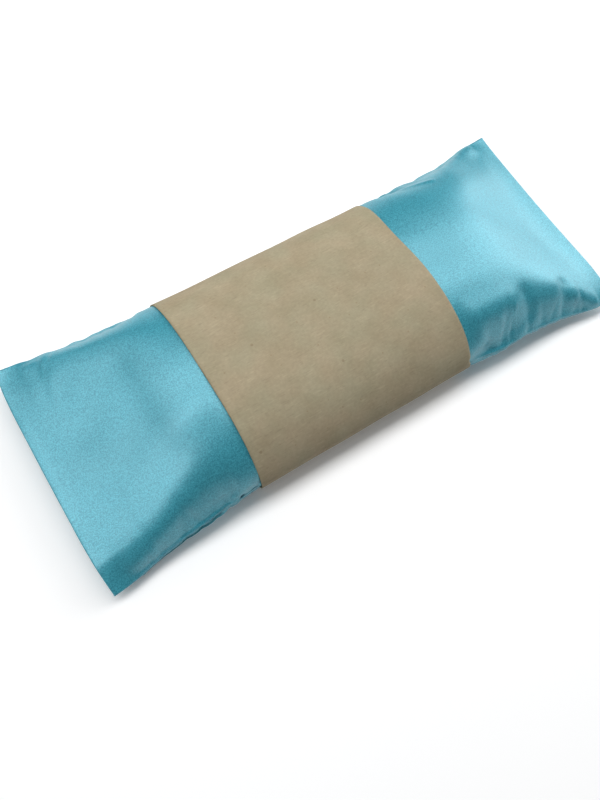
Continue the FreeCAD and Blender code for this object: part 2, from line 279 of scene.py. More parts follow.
def simulate_cover():
    """The two sewn panels at rest: an array (panel, along, across, xyz)."""
    u = np.linspace(-1, 1, CELLS_ALONG + 1)
    u, v = np.meshgrid(u, np.linspace(-1, 1, CELLS_ACROSS + 1), indexing="ij")
    from_side = (1 - abs(v)) * FLAT_WIDTH / 2
    from_end = (1 - abs(u)) * FLAT_LENGTH / 2
    filled = smooth(from_side / SIDE_SLACK) * smooth(from_end / SIDE_SLACK)
    rest_along, rest_across = resting_lengths(u, v, from_side)
    apart, lifted = filling_limits(u, v, from_end, from_side)
    points = starting_sheets(u, v)
    weld(points)
    last = points.copy()
    for step in range(STEPS):
        normal = outward(points)
        volume = (points[..., 2] * normal[..., 2]).sum() / 1000
        area = np.linalg.norm(normal, axis=-1).sum()
        push = np.clip((VOLUME - volume) * 500 / area, -0.3, 0.3)
        top = points[0, ..., 2].max()
        weight = (1 + np.clip((top - points[..., 2]) / top, 0, 1)) * filled
        drag = 0.92 if step < STEPS * 0.6 else 0.75
        normal /= CELL_LENGTH * CELL_WIDTH
        move = (points - last) * drag + normal * (push * weight)[..., None]
        move[..., 2] -= 0.002
        length = np.linalg.norm(move, axis=-1, keepdims=True)
        move *= np.minimum(1, 0.8 / (length + 1e-9))
        last = points.copy()
        points += move
        for _ in range(PASSES):
            hold_cloth(points, rest_along, rest_across)
            hold_in(points, apart, lifted)
    fair_cover(points, np.minimum(from_side, from_end))
    print("cover: volume %.1f cm3, top %.1f mm" % (volume, top))
    return points


def unit(vectors):
    return vectors / (np.linalg.norm(vectors, axis=-1, keepdims=True) + 1e-9)


def cubic_taps(places, count):
    """The four grid lines round each fractional place, and their Catmull-Rom weights."""
    cell = np.clip(np.floor(places).astype(int), 0, count - 2)
    t = places - cell
    weights = (-t + 2 * t ** 2 - t ** 3, 2 - 5 * t ** 2 + 3 * t ** 3,
               t + 4 * t ** 2 - 3 * t ** 3, -t ** 2 + t ** 3)
    return [(cell + k, w / 2) for k, w in enumerate(weights)]


def pick(field, rows, columns):
    """Smooth values of a gridded field at fractional rows and columns."""
    edge = np.concatenate([2 * field[:1] - field[1:2], field, 2 * field[-1:] - field[-2:-1]])
    edge = np.concatenate([2 * edge[:, :1] - edge[:, 1:2], edge,
                           2 * edge[:, -1:] - edge[:, -2:-1]], 1)
    rows, columns = np.broadcast_arrays(rows, columns)
    found = 0
    for i, row_weight in cubic_taps(rows, field.shape[0]):
        for j, column_weight in cubic_taps(columns, field.shape[1]):
            found = found + edge[i, j] * (row_weight * column_weight)[..., None]
    return found


def refined(points, step, inset=0.0):
    """The cover's two panels on another grid, without the outermost inset."""
    places = []
    for size, count in ((FLAT_LENGTH, points.shape[1]), (FLAT_WIDTH, points.shape[2])):
        even_places = np.linspace(inset, size - inset, round((size - 2 * inset) / step) + 1)
        places.append(even_places / size * (count - 1))
    return np.stack([pick(panel, places[0][:, None], places[1]) for panel in points])


def from_nearest_seam(points, inset=0.0):
    """How far the places of the flat cover, or of a bag inset in it, lie from a seam."""
    along = np.linspace(0, FLAT_LENGTH - 2 * inset, points.shape[1])[:, None]
    across = np.linspace(0, FLAT_WIDTH - 2 * inset, points.shape[2])
    from_end = np.minimum(along, along[::-1])
    return np.minimum(from_end, np.minimum(across, across[::-1]))


# ---- folds and puckers ----
# Folds of the upper panel that the filling doesn't give: their line seen from above,
# how deep they are (ridges are negative) and half their width.
FOLDS = (
    (((-57, -9), (-70, -12), (-84, -15)), -0.5, 7.0),
    (((46, -32), (56, -33), (65, -33.5)), -1.7, 6.0),
    (((73.5, -37.5), (74, -32.5)), 1.0, 2.9),
    (((93.5, -40), (95.5, -35)), 1.2, 3.3),
    (((66.8, -34), (65, -38), (64, -42)), -0.7, 0.8),
    (((53, -36), (52, -41)), 0.3, 1.8),
    (((58.5, -36), (57.5, -41)), -0.3, 1.6),
    (((60, 37), (66, 35.5), (74, 33)), -0.7, 1.2),
)
# How far the corners of the ends droop (the back ones stand up a little) and how wide the
# bent edge is: (right end, back seam, depth, width).
DROOPS = ((0, 0, 4.5, 11.0), (1, 0, 3.2, 20.0), (1, 1, -0.4, 48.0), (0, 1, -0.6, 48.0))
DROOP_LENGTH = 45.0  # along the seam from the corner
DROOP_FADE = 35.0  # the part of that over which the droop fades out
# How far the long edges are drawn in beside the corners: (right end, back seam, depth).
DRAWN_IN = ((0, 0, 0.8), (1, 0, 1.3), (1, 1, 1.6))
DRAWN_LENGTH = 66.0  # along the seam from the corner, about as far as the band
DRAWN_IN_OVER, DRAWN_OUT_OVER = 30.0, 20.0  # it comes in and goes over these lengths
GATHERS_FROM = 17.0  # distance of the first and last gather from the ends
CALM_FROM, CALM_OVER = 185.0, 15.0  # where the back seam's gathers weaken towards the right
BAND_CALM = 9.0  # how far from the band's edges the gathers come in
# Small dents of the back seam: their distances from the left end, and their sizes.
NOTCHES = (14.0, 27.0, 37.5, 54.0, 175.0, 186.0, 199.0, 213.0)
NOTCH_DEPTH, NOTCH_WIDTH, NOTCH_REACH = 0.45, 2.6, 7.0
SUNK_SEAM = 0.6  # how far the stitches pull the front seam in
SUNK_REACH = 1.2
ROLLED_SEAM = 1.1  # how far the lower panel stands out below the front seam
ROLLED_REACH = 2.2  # how far from the seam it stands out most


def distance_to_line(points, line):
    """How far points lie from a broken line seen from above."""
    nearest = np.inf
    for start, end in zip(line[:-1], line[1:]):
        start, end = np.array(start, float), np.array(end, float)
        run = end - start
        share = np.clip(((points - start) @ run) / (run @ run), 0, 1)
        away = np.linalg.norm(points - start - share[..., None] * run, axis=-1)
        nearest = np.minimum(nearest, away)
    return nearest


def droop_corners(points, along, across):
    """Bends the corners down or up and draws the long edges in beside them."""
    for right, back, depth, reach in DROOPS:
        from_end = FLAT_LENGTH - along if right else along
        from_side = FLAT_WIDTH - across if back else across
        bent = np.clip(1 - from_side / reach, 0, 1) ** 1.5
        points[..., 2] -= depth * bent * smooth((DROOP_LENGTH - from_end) / DROOP_FADE)
    for right, back, depth in DRAWN_IN:
        from_end = FLAT_LENGTH - along if right else along
        to_side = np.clip((across if back else FLAT_WIDTH - across) / (FLAT_WIDTH / 2) - 1, 0, 1)
        middle = smooth(from_end / DRAWN_IN_OVER)
        middle = middle * smooth((DRAWN_LENGTH - from_end) / DRAWN_OUT_OVER)
        points[..., 1] += (-1 if back else 1) * depth * to_side * middle


def fold_top(points, from_seam):
    """Presses the listed folds into the upper panel, outside the band."""
    flat = points[0, ..., :2].copy()
    from_band = np.maximum(BAND_LOW[0] - flat[..., 0], flat[..., 0] - BAND_HIGH[0])
    near = smooth(from_seam / 3.0) * smooth((from_band + 1) / 7)
    for line, depth, half_width in FOLDS:
        away = distance_to_line(flat, line) / half_width
        points[0, ..., 2] -= depth * np.exp(-away ** 2) * near


def gather_seams(points, along, across):
    """The small gathers that the stitches pull into the long seams."""
    random = np.random.default_rng(11)
    normal = unit(outward(points))
    room = 0.35 * np.linalg.norm(points[0] - points[1], axis=-1)
    band_edges = (FLAT_LENGTH / 2 + BAND_LOW[0], FLAT_LENGTH / 2 + BAND_HIGH[0])
    for side, from_side, strength in ((-1, across, 0.5), (1, FLAT_WIDTH - across, 1.0)):
        place = GATHERS_FROM
        while place < FLAT_LENGTH - GATHERS_FROM:
            half_width = random.uniform(1.0, 1.7)
            reach = random.uniform(2.5, 5.0)
            slant = random.uniform(-0.5, 0.5)
            calm = 1 - 0.7 * smooth((side * place - CALM_FROM) / CALM_OVER)
            deep = calm * random.uniform(0.2, 0.6, 2)
            pull = calm * strength * random.uniform(0.1, 0.4)
            lift = calm * strength * random.uniform(-0.3, 0.3)
            free = math.prod(smooth(abs(place - edge) / BAND_CALM) for edge in band_edges)
            off = (along - place - slant * from_side) / half_width
            ditch = np.exp(-off ** 2) * (from_side / reach) * np.exp(1 - from_side / reach) * free
            for panel in (0, 1):
                points[panel] -= normal[panel] * np.minimum(ditch * deep[panel], room)[..., None]
            near = np.exp(-((along - place) / 2.2) ** 2 - (from_side / 3.0) ** 2)
            points[..., 1] -= side * pull * near * free
            points[..., 2] += lift * near * free
            place += random.uniform(4.5, 10.5)


def notch_back_seam(points, along, across):
    near = np.exp(-((FLAT_WIDTH - across) / NOTCH_REACH) ** 2)
    for place in NOTCHES:
        points[..., 1] -= NOTCH_DEPTH * np.exp(-((along - place) / NOTCH_WIDTH) ** 2) * near


def roll_front_seam(points, along, across):
    """Sinks the front seam between the panels and rolls the lower panel out below it. Both
    fade at the left-hand corner, beside the band and towards the right-hand end."""
    from_band = np.maximum(BAND_LOW[0] - points[..., 0], points[..., 0] - BAND_HIGH[0])
    showing = smooth((along - 3) / 14) * (0.3 + 0.7 * smooth((150 - along) / 60))
    loose = smooth(from_band / 14)
    sunk = SUNK_SEAM * np.exp(-(across / SUNK_REACH) ** 2) * showing
    points[..., 1] += sunk * (0.3 + 0.7 * loose)
    roll = ROLLED_SEAM * across / ROLLED_REACH * np.exp(1 - across / ROLLED_REACH)
    points[1, ..., 1] -= roll * showing * smooth((from_band[1] - 5) / 20)


def keep_in_paper(points):
    """Holds the long seams inside the band."""
    inside = (points[..., 0] > BAND_LOW[0] - 1) & (points[..., 0] < BAND_HIGH[0] + 1)
    widest = np.where(inside, BAND_HIGH[1] - PAPER - 0.15, NO_LIMIT)
    np.clip(points[..., 1], -widest, widest, out=points[..., 1])


def ripple_top(points, from_seam):
    """Slight unevenness of the filling under the satin."""
    random = np.random.default_rng(5)
    x, y = points[0, ..., 0], points[0, ..., 1]
    height = 0.0
    for _ in range(24):
        angle = random.uniform(0, math.pi)
        wave = random.uniform(16, 42)
        phase = random.uniform(0, math.tau)
        run = x * math.cos(angle) + y * math.sin(angle)
        height = height + wave / 42 * np.sin(math.tau * run / wave + phase)
    points[0, ..., 2] += 0.045 * height * smooth((from_seam - 3) / 15)


# ---- sewn bags ----
LIP = 0.4  # radius of the rolled edge of a panel at the seam
SEAM_GAP = 0.06  # half the gap between the two panels at the stitches
LIP_FADE = 20.0  # how far in the edge's thickness tells
LIP_TURNS = (-90, -135, 180, 135, 90)  # degrees round the lip
AFTER_LIP = (0.8, 1.15, 1.6)  # rows of points after the lip, from the seam
FIRST_EVEN_ROW = 2.1  # from there on the rows are evenly apart
ALLOWANCE_ROWS = (4.0, 3.0, 2.0, 1.2)  # rows on the allowance turned in, from the seam
MITRE_GAP = 0.15  # keeps the allowances' rows apart where they meet in a mitre
STITCH_LINE = 1.5  # from the edge
STITCH_PITCH = 4.0
CLOSING_GAP = 60.0  # closed by hand in the right-hand end
CLOSING_PITCH = 4.0


class Bag:
    """Two sewn panels as a middle surface, half the gap between them, and its upright."""

    def __init__(self, points, length, width):
        self.length, self.width = length, width
        self.middle = (points[0] + points[1]) / 2
        self.half = (points[0] - points[1]) / 2
        self.upright = unit(sheet_normal(self.middle))

    def at(self, from_left, from_front):
        """The middle, the half gap and the upright at distances from the left and front seams."""
        rows = from_left / self.length * (self.middle.shape[0] - 1)
        columns = from_front / self.width * (self.middle.shape[1] - 1)
        return [pick(field, rows, columns) for field in (self.middle, self.half, self.upright)]

    def seam_line(self, inset, step):
        """Places (from_left, from_front) round the bag at an inset from its seams, from the
        middle of the right-hand end."""
        right, back = self.length - inset, self.width - inset
        corners = np.array([(right, self.width / 2), (right, back), (inset, back), (inset, inset),
                            (right, inset), (right, self.width / 2)])
        return even(corners, step)


def distances_along(route):
    """How far along a route its points lie."""
    return np.concatenate([[0], np.cumsum(np.linalg.norm(np.diff(route, axis=0), axis=1))])


def even(route, step):
    """A route's points at even distances."""
    passed = distances_along(route)
    at = np.linspace(0, passed[-1], round(passed[-1] / step) + 1)
    return np.stack([np.interp(at, passed, route[:, k]) for k in range(route.shape[1])], -1)


def inner_bag(points, gap, inset, rounding, step):
    """A bag inside the cover: its panels lie gap inside the cover's and close at inset."""
    inward = refined(points - unit(outward(points)) * gap, step, inset)
    shut = np.clip(from_nearest_seam(inward, inset) / rounding, 0, 1)
    shut = np.sqrt(1 - (1 - shut) ** 2)[..., None]
    middle = (inward[0] + inward[1]) / 2
    middle[..., 1:2] *= 0.9 + 0.1 * shut
    half = (inward[0] - inward[1]) / 2 * shut
    return np.stack([middle + half, middle - half])


def edge_profile(size, step):
    """A panel's rows from seam to seam: their distances from the first seam, least heights
    above the middle, depths in the seam allowance and shares of the filling's thickness."""
    lip_distance = [LIP + LIP * math.cos(math.radians(a)) for a in LIP_TURNS]
    lip_height = [LIP + SEAM_GAP + LIP * math.sin(math.radians(a)) for a in LIP_TURNS]
    folded, after = len(ALLOWANCE_ROWS), len(AFTER_LIP)
    near = [*ALLOWANCE_ROWS, *lip_distance, *AFTER_LIP]
    low = [SEAM_GAP] * folded + lip_height + [2 * LIP + SEAM_GAP] * after
    deep = [*ALLOWANCE_ROWS] + [0.0] * (len(LIP_TURNS) + after)
    share = [0.0] * (folded + 3) + [0.5] + [1.0] * (len(LIP_TURNS) + after - 4)
    count = round((size - 2 * FIRST_EVEN_ROW) / step) + 1
    inner = list(np.linspace(FIRST_EVEN_ROW, size - FIRST_EVEN_ROW, count))
    places = near + inner + [size - s for s in reversed(near)]
    return [np.array(places)] + [np.array(half + half[-1:] * count + half[::-1])
                                 for half in (low, deep, share)]


def mitred(places, size, deep):
    """Moves the ends of the allowances' rows in, so that the allowances meet in a mitre."""
    low = np.maximum(places, deep + MITRE_GAP * np.minimum(places, deep))
    high = size - places
    high = size - np.maximum(high, deep + MITRE_GAP * np.minimum(high, deep))
    return np.where(places < size / 2, low, high)


def panel_grid(bag, side, step):
    """One panel of a bag as a grid of points, and which of its faces there are."""
    from_left, low_left, deep_left, share_left = edge_profile(bag.length, step)
    from_front, low_front, deep_front, share_front = edge_profile(bag.width, step)
    in_left, in_front = deep_left[:, None] > 0, deep_front[None] > 0
    s, t = from_left[:, None], from_front[None]
    s, t = (np.where(in_left, s, mitred(s, bag.length, deep_front[None])),
            np.where(in_front, t, mitred(t, bag.width, deep_left[:, None])))
    middle, half, upright = bag.at(s, t)
    least = np.minimum(low_left[:, None], low_front[None])
    from_seam = np.minimum(np.minimum(s, bag.length - s), np.minimum(t, bag.width - t))
    opened = np.minimum(share_left[:, None], share_front[None])
    lifted = least * (1 - smooth(from_seam / LIP_FADE))
    direction = unit(half + upright * 0.3)
    grid = middle + side * (direction * lifted[..., None] + half * opened[..., None])
    kept = ~(in_left[:-1] & in_front[:, :-1]) & ~(in_left[1:] & in_front[:, 1:])
    kept &= ~(in_left[:-1] & in_front[:, 1:]) & ~(in_left[1:] & in_front[:, :-1])
    return grid, kept


def link(name, data):
    """An object in the scene, of a mesh, a light or a camera."""
    piece = bpy.data.objects.new(name, data)
    bpy.context.scene.collection.objects.link(piece)
    return piece


def link_mesh(name, points, faces):
    """A smooth object from points in millimetres and its faces."""
    mesh = bpy.data.meshes.new(name)
    mesh.from_pydata((points * MM).tolist(), [], faces)
    mesh.shade_smooth()
    return link(name, mesh)


def link_quads(name, points, quads):
    """The same from an array of four-sided faces; points without a face are left out."""
    used, quads = np.unique(quads, return_inverse=True)
    return link_mesh(name, points[used], quads.reshape(-1, 4).tolist())


def grid_quads(index):
    return np.stack([index[:-1, :-1], index[1:, :-1], index[1:, 1:], index[:-1, 1:]], -1)


def grid_mesh(name, grid, kept=None, flip=False):
    index = np.arange(grid[..., 0].size).reshape(grid.shape[:2])
    faces = grid_quads(index)
    faces = faces.reshape(-1, 4) if kept is None else faces[kept]
    if flip:
        faces = faces[:, ::-1]
    return link_quads(name, grid.reshape(-1, 3), faces)


def dress(piece, body, node, material):
    """Ties a finished piece to the frame."""
    piece.data.materials.append(material)
    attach(piece, body)
    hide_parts(node)


def thicken(piece, thickness):
    thick = piece.modifiers.new("thickness", "SOLIDIFY")
    thick.thickness = thickness * MM
    thick.offset = -1


def make_panels(bag, names, nodes, thickness, material, step):
    for name, node, side in zip(names, nodes, (1, -1)):
        grid, kept = panel_grid(bag, side, step)
        piece = grid_mesh(name, grid, kept, flip=side < 0)
        thicken(piece, thickness)
        dress(piece, "pillow", node, material)


def tube_mesh(name, path, radius, closed, sides=6):
    """A round tube along a path, with flat ends unless it is closed."""
    if closed:
        ahead = np.roll(path, -1, axis=0) - np.roll(path, 1, axis=0)
    else:
        ahead = np.gradient(path, axis=0)
    ahead = unit(ahead)
    level = unit(np.cross(ahead, (0, 0, 1.0)))
    upright = np.cross(level, ahead)
    turns = np.linspace(0, math.tau, sides, endpoint=False)
    rings = path[:, None] + radius * (level[:, None] * np.cos(turns)[:, None]
                                      + upright[:, None] * np.sin(turns)[:, None])
    count = len(path)
    index = np.arange(count * sides).reshape(count, sides)
    index = np.concatenate([index, index[:, :1]], 1)
    if closed:
        index = np.concatenate([index, index[:1]])
    faces = grid_quads(index).reshape(-1, 4).tolist()
    if not closed:
        faces += [list(range(sides)), list(reversed(range((count - 1) * sides, count * sides)))]
    return link_mesh(name, rings.reshape(-1, 3), faces)


def stitched_line(bag, places, side, fabric):
    """A lockstitch thread along places: it lies on the allowance and dips into each hole."""
    middle, _, upright = bag.at(places[:, 0], places[:, 1])
    to_hole = abs((distances_along(places) / STITCH_PITCH + 0.5) % 1.0 - 0.5) * STITCH_PITCH
    height = (SEAM_GAP + fabric + THREAD / 2) * (1 - 0.8 * np.exp(-(to_hole / 0.5) ** 2))
    return middle + side * unit(upright) * height[:, None]


def make_threads(bag, names, nodes, fabric, material, gap=0.0):
    """The needle thread above and the bobbin thread below of one bag's seam."""
    places = bag.seam_line(STITCH_LINE, 0.5)
    if gap:
        right = places[:, 0] > bag.length - STITCH_LINE - 0.01
        places = places[~(right & (abs(places[:, 1] - bag.width / 2) < gap / 2))]
    else:
        places = places[:-1]
    for name, node, side in zip(names, nodes, (1, -1)):
        path = stitched_line(bag, places, side, fabric)
        piece = tube_mesh(name, path, THREAD / 2, closed=not gap)
        dress(piece, "pillow", node, material)


def make_closing_thread(bag, material):
    """The hand-sewn running stitch that shuts the gap in the right-hand end."""
    across = np.arange(-CLOSING_GAP / 2 - 1, CLOSING_GAP / 2 + 1.01, 0.5)
    from_left = np.full_like(across, bag.length - STITCH_LINE)
    middle, _, upright = bag.at(from_left, across + bag.width / 2)
    weave = np.clip(1.6 * np.sin(math.pi * across / CLOSING_PITCH), -1, 1)
    path = middle + unit(upright) * ((SATIN + THREAD / 2 + SEAM_GAP) * weave)[:, None]
    piece = tube_mesh("closing_stitches", path, THREAD / 2, closed=False)
    dress(piece, "pillow", "closing_thread", material)


# ---- pouch and filling ----
SATIN_LINING_GAP = 0.3  # between the satin and the pouch
POUCH_INSET = 7.5  # the pouch's seam lies this far inside the cover's
POUCH_ROUNDING = 9.0
SEED_GAP = 0.15  # between the pouch and the seed
SEED_INSET = 10.0
SEED_ROUNDING = 10.0
BUD_COUNT = 36
BUD_LENGTH, BUD_WIDTH = 5.0, 2.4
BUD_RIBS = 5
BUD_COVER = 1.0  # seed over a bud


def make_seed(grid, material):
    """The flaxseed as one closed heap inside the pouch."""
    index = np.arange(grid[..., 0].size).reshape(grid.shape[:3])
    rim = np.zeros(grid.shape[1:3], bool)
    rim[[0, -1]] = True
    rim[:, [0, -1]] = True
    index[1][rim] = index[0][rim]
    faces = np.concatenate([grid_quads(index[0]).reshape(-1, 4),
                            grid_quads(index[1]).reshape(-1, 4)[:, ::-1]])
    piece = link_quads("flaxseed_heap", grid.reshape(-1, 3), faces)
    dress(piece, "pillow", "flaxseed_fill", material)


def make_buds(grid, material):
    """Dried lavender buds in the seed, just under the top of the heap."""
    random = np.random.default_rng(7)
    rings, sides = 9, 4 * BUD_RIBS
    share = np.linspace(0, 1, rings)
    thick = np.sqrt(np.maximum(1 - (2 * share - 1) ** 4, 0)) * (1 - 0.25 * share) * BUD_WIDTH / 2
    turn = np.linspace(0, math.tau, sides, endpoint=False)
    ribs = 1 + 0.12 * np.cos(BUD_RIBS * turn)
    shape = np.stack([np.broadcast_to((share - 0.5)[:, None] * BUD_LENGTH, (rings, sides)),
                      thick[:, None] * (np.cos(turn) * ribs),
                      thick[:, None] * (np.sin(turn) * ribs)], -1)[1:-1]
    tips = np.array([(-BUD_LENGTH / 2, 0, 0), (BUD_LENGTH / 2, 0, 0)])
    one = np.concatenate([shape.reshape(-1, 3), tips])
    index = np.arange((rings - 2) * sides).reshape(rings - 2, sides)
    index = np.concatenate([index, index[:, :1]], 1)
    body = grid_quads(index).reshape(-1, 4)[:, ::-1].tolist()
    last = len(one) - 2
    caps = [[last, index[0, k], index[0, k + 1]] for k in range(sides)]
    caps += [[last + 1, index[-1, k + 1], index[-1, k]] for k in range(sides)]
    points, faces = [], []
    top = grid[0]
    for number in range(BUD_COUNT):
        i = int((0.2 + 0.6 * (number + 0.5) / BUD_COUNT) * top.shape[0])
        j = int(random.uniform(0.35, 0.65) * top.shape[1])
        angle = random.uniform(0, math.tau)
        x, y = math.cos(angle), math.sin(angle)
        place = top[i, j] - (0, 0, BUD_COVER + BUD_WIDTH / 2)
        points.append(one @ [(x, y, 0), (-y, x, 0), (0, 0, 1)] + place)
        first = number * len(one)
        faces += [[first + k for k in face] for face in body + caps]
    piece = link_mesh("dried_lavender_buds", np.concatenate(points), faces)
    dress(piece, "pillow", "lavender_buds", material)


# ---- kraft paper band ----
LAP_START, LAP_END = 11.0, 29.0  # of the lapped ends under the pillow, across it
LAP_GAP = 0.1  # between the lapped layers
# How the paper's right-hand edge stands back: small kinks low on its sides, and two wide
# shallow curves over the top (y, z, depth, half width).
KINKS = ((-42.5, 15.5, 0.7, 1.1), (-41.8, 20.5, 0.5, 1.5), (-42.8, 10.5, -0.5, 1.6),
         (40.5, 22.0, 0.5, 1.6), (17.0, 32.0, 2.5, 17.0), (-20.0, 30.0, 0.8, 19.0))


def band_section():
    """Points on the outside of the paper, from its inner end round to its outer end: (y, z)."""
    half, top = BAND_HIGH[1], BAND_HIGH[2]
    v = np.cos(np.radians(np.linspace(0, 180, 121)))
    share = np.maximum(1 - abs(v) ** 3, 0) ** BAND_ROUND
    upper = np.stack([v * half, SHOULDER_HEIGHT + (top - SHOULDER_HEIGHT) * share], -1)
    front = np.stack([v * half, np.maximum(BAND_SIDE - BAND_BEND * share, 0.0)], -1)[::-1]
    front = front[(front[:, 1] > 0.01) & (front[:, 0] < 0)]
    back = front[::-1] * (-1, 1)
    back = back[back[:, 1] > PAPER + LAP_GAP + 0.15]
    inner = np.array([(LAP_START, PAPER + LAP_GAP), (LAP_END + 0.5, PAPER + LAP_GAP)])
    return np.concatenate([inner, back, upper, front, [(LAP_END, 0.0)]])


def uneven_paper(grid):
    """Stands the paper off the pillow a little here and there, and kinks its edge."""
    random = np.random.default_rng(8)
    x, y, z = (grid[..., k].copy() for k in range(3))
    waves = 0.0
    for _ in range(18):
        run = sum(random.normal() * place for place in (x, y, z)) / random.uniform(6, 11)
        waves = waves + np.sin(run + random.uniform(0, math.tau))
    swell = 0.12 * np.clip(1 + waves / 4, 0, None) * smooth((z - 6) / 6)
    grid += unit(sheet_normal(grid)) * swell[..., None]
    for kink_y, kink_z, back, half_width in KINKS:
        near = np.exp(-((y - kink_y) ** 2 + (z - kink_z) ** 2) / half_width ** 2)
        grid[..., 0] -= back * near * smooth((x - BAND_HIGH[0] + 6) / 6)


def make_band(material):
    section = even(band_section(), 1.0)
    x = np.linspace(BAND_LOW[0], BAND_HIGH[0], 99)
    grid = np.zeros((len(section), len(x), 3))
    grid[..., 0] = x
    grid[..., 1:] = section[:, None]
    uneven_paper(grid)
    piece = grid_mesh("kraft_belly_band", grid)
    thicken(piece, PAPER)
    dress(piece, "band", "belly_band", material)


# ---- materials ----

class Material:
    """A node material with short ways to add its textures."""

    def __init__(self, name, roughness, **sockets):
        self.material = bpy.data.materials.new(name)
        self.material.use_nodes = True
        self.nodes = self.material.node_tree.nodes
        self.links = self.material.node_tree.links
        self.shader = self.nodes["Principled BSDF"]
        self.shader.inputs["Roughness"].default_value = roughness
        for socket, value in sockets.items():
            self.shader.inputs[socket.replace("_", " ")].default_value = value
        self.place = self.add("TexCoord").outputs["Object"]

    def feed(self, socket, value):
        """Links a socket to another node's output, or sets it to a value."""
        if isinstance(value, bpy.types.NodeSocket):
            self.links.new(value, socket)
        else:
            socket.default_value = value

    def add(self, kind, **inputs):
        """A new node with its inputs fed."""
        node = self.nodes.new("ShaderNode" + kind)
        for name, value in inputs.items():
            self.feed(node.inputs[name], value)
        return node

    def stretched(self, scale, turn=0.0):
        mapping = self.add("Mapping", Scale=scale, Rotation=(0, 0, turn), Vector=self.place)
        return mapping.outputs["Vector"]

    def noise(self, scale, detail=2.0, place=None):
        place = place or self.place
        return self.add("TexNoise", Scale=scale, Detail=detail, Vector=place).outputs["Fac"]

    def cells(self, scale, output="Distance", place=None):
        return self.add("TexVoronoi", Scale=scale, Vector=place or self.place).outputs[output]

    def ramp(self, value, *stops):
        """Colours or greys at places from 0 to 1 of a value."""
        ramp = self.add("ValToRGB", Fac=value)
        elements = ramp.color_ramp.elements
        for number, (at, colour) in enumerate(stops):
            if not isinstance(colour, tuple):
                colour = (colour, colour, colour)
            element = elements[number] if number < 2 else elements.new(at)
            element.position = at
            element.color = (*colour, 1)
        return ramp.outputs["Color"]

    def maths(self, operation, first, second):
        node = self.add("Math")
        node.operation = operation
        self.feed(node.inputs[0], first)
        self.feed(node.inputs[1], second)
        return node.outputs[0]

    def mix(self, share, first, second, blend="MIX"):
        node = self.add("Mix")
        node.data_type = "RGBA"
        node.blend_type = blend
        for socket, value in ((0, share), (6, first), (7, second)):
            self.feed(node.inputs[socket], value)
        return node.outputs[2]

    def shaded(self, tone, value, *stops):
        """A tone times the ramp of a value."""
        return self.mix(1.0, tone, self.ramp(value, *stops), "MULTIPLY")

    def complete(self, tone, height, depth, strength):
        """Colours and bumps the material."""
        self.feed(self.shader.inputs["Base Color"], tone)
        bump = self.add("Bump", Strength=strength, Distance=depth * MM, Height=height)
        self.feed(self.shader.inputs["Normal"], bump.outputs["Normal"])
        return self.material


def satin_material():
    satin = Material("turquoise_satin", 0.4, IOR=1.9, Metallic=0.2, Specular_Tint=(0.95, 1, 1, 1))
    grain = satin.noise(2200, 1.0)
    ribs = satin.noise(1.0, 1.0, satin.stretched((450, 2400, 900), 0.35))
    cloudy = satin.noise(45)
    tone = satin.ramp(grain, (0.36, (0.028, 0.235, 0.322)), (0.64, (0.062, 0.458, 0.565)))
    ribbed = satin.ramp(ribs, (0.3, (0.028, 0.27, 0.37)), (0.7, (0.048, 0.39, 0.505)))
    tone = satin.mix(0.3, tone, ribbed)
    tone = satin.shaded(tone, cloudy, (0.3, 0.96), (0.7, 1.04))
    gloss = satin.ramp(grain, (0.36, 0.42), (0.64, 0.58))
    satin.feed(satin.shader.inputs["Specular IOR Level"], gloss)
    matt = satin.ramp(grain, (0.25, 0.36), (0.75, 0.44))
    satin.feed(satin.shader.inputs["Roughness"], matt)
    return satin.complete(tone, satin.maths("ADD", grain, ribs), 0.08, 0.5)


def kraft_material():
    kraft = Material("kraft_paper", 0.85, Specular_IOR_Level=0.3)
    pulp = kraft.noise(900, 3.0)
    mottle = kraft.noise(110, 3.0)
    tint = kraft.noise(70, 2.0, kraft.stretched((1.0, 1.0, 1.0), 1.1))
    tone = kraft.ramp(mottle, (0.3, (0.362, 0.31, 0.203)), (0.7, (0.414, 0.353, 0.239)))
    tone = kraft.shaded(tone, tint, (0.35, (1.02, 0.985, 0.97)), (0.65, (0.98, 1.01, 1.0)))
    tone = kraft.shaded(tone, pulp, (0.3, 0.94), (0.7, 1.05))
    for turn, stretch in ((0.5, (260, 2600, 900)), (2.0, (240, 2400, 900))):
        fibre = kraft.noise(1.0, 1.0, kraft.stretched(stretch, turn))
        tone = kraft.shaded(tone, fibre, (0.64, 1.0), (0.74, 1.1))
        tone = kraft.shaded(tone, fibre, (0.25, 0.88), (0.34, 1.0))
    for scale, chosen, depth in ((420, 0.8, 0.75), (230, 0.86, 0.6)):
        near = kraft.cells(scale)
        which = kraft.cells(scale, "Color")
        speck = kraft.maths("MULTIPLY", kraft.maths("LESS_THAN", near, 0.13),
                            kraft.maths("GREATER_THAN", which, chosen))
        colour = (0.41 * depth, 0.3 * depth, 0.17 * depth, 1)
        tone = kraft.mix(kraft.maths("MULTIPLY", speck, 0.55), tone, colour)
    return kraft.complete(tone, kraft.maths("ADD", pulp, mottle), 0.03, 0.5)


def weave(cloth, period):
    """Height of a plain weave's threads over and under each other."""
    angle = math.tau / period / MM
    split = cloth.add("SeparateXYZ", Vector=cloth.place)
    wave_x = cloth.maths("SINE", cloth.maths("MULTIPLY", split.outputs[0], angle), 0)
    wave_y = cloth.maths("SINE", cloth.maths("MULTIPLY", split.outputs[1], angle), 0)
    crossed = cloth.maths("MULTIPLY", wave_x, wave_y)
    return cloth.maths("ADD", cloth.maths("MULTIPLY", crossed, 0.5), 0.5)


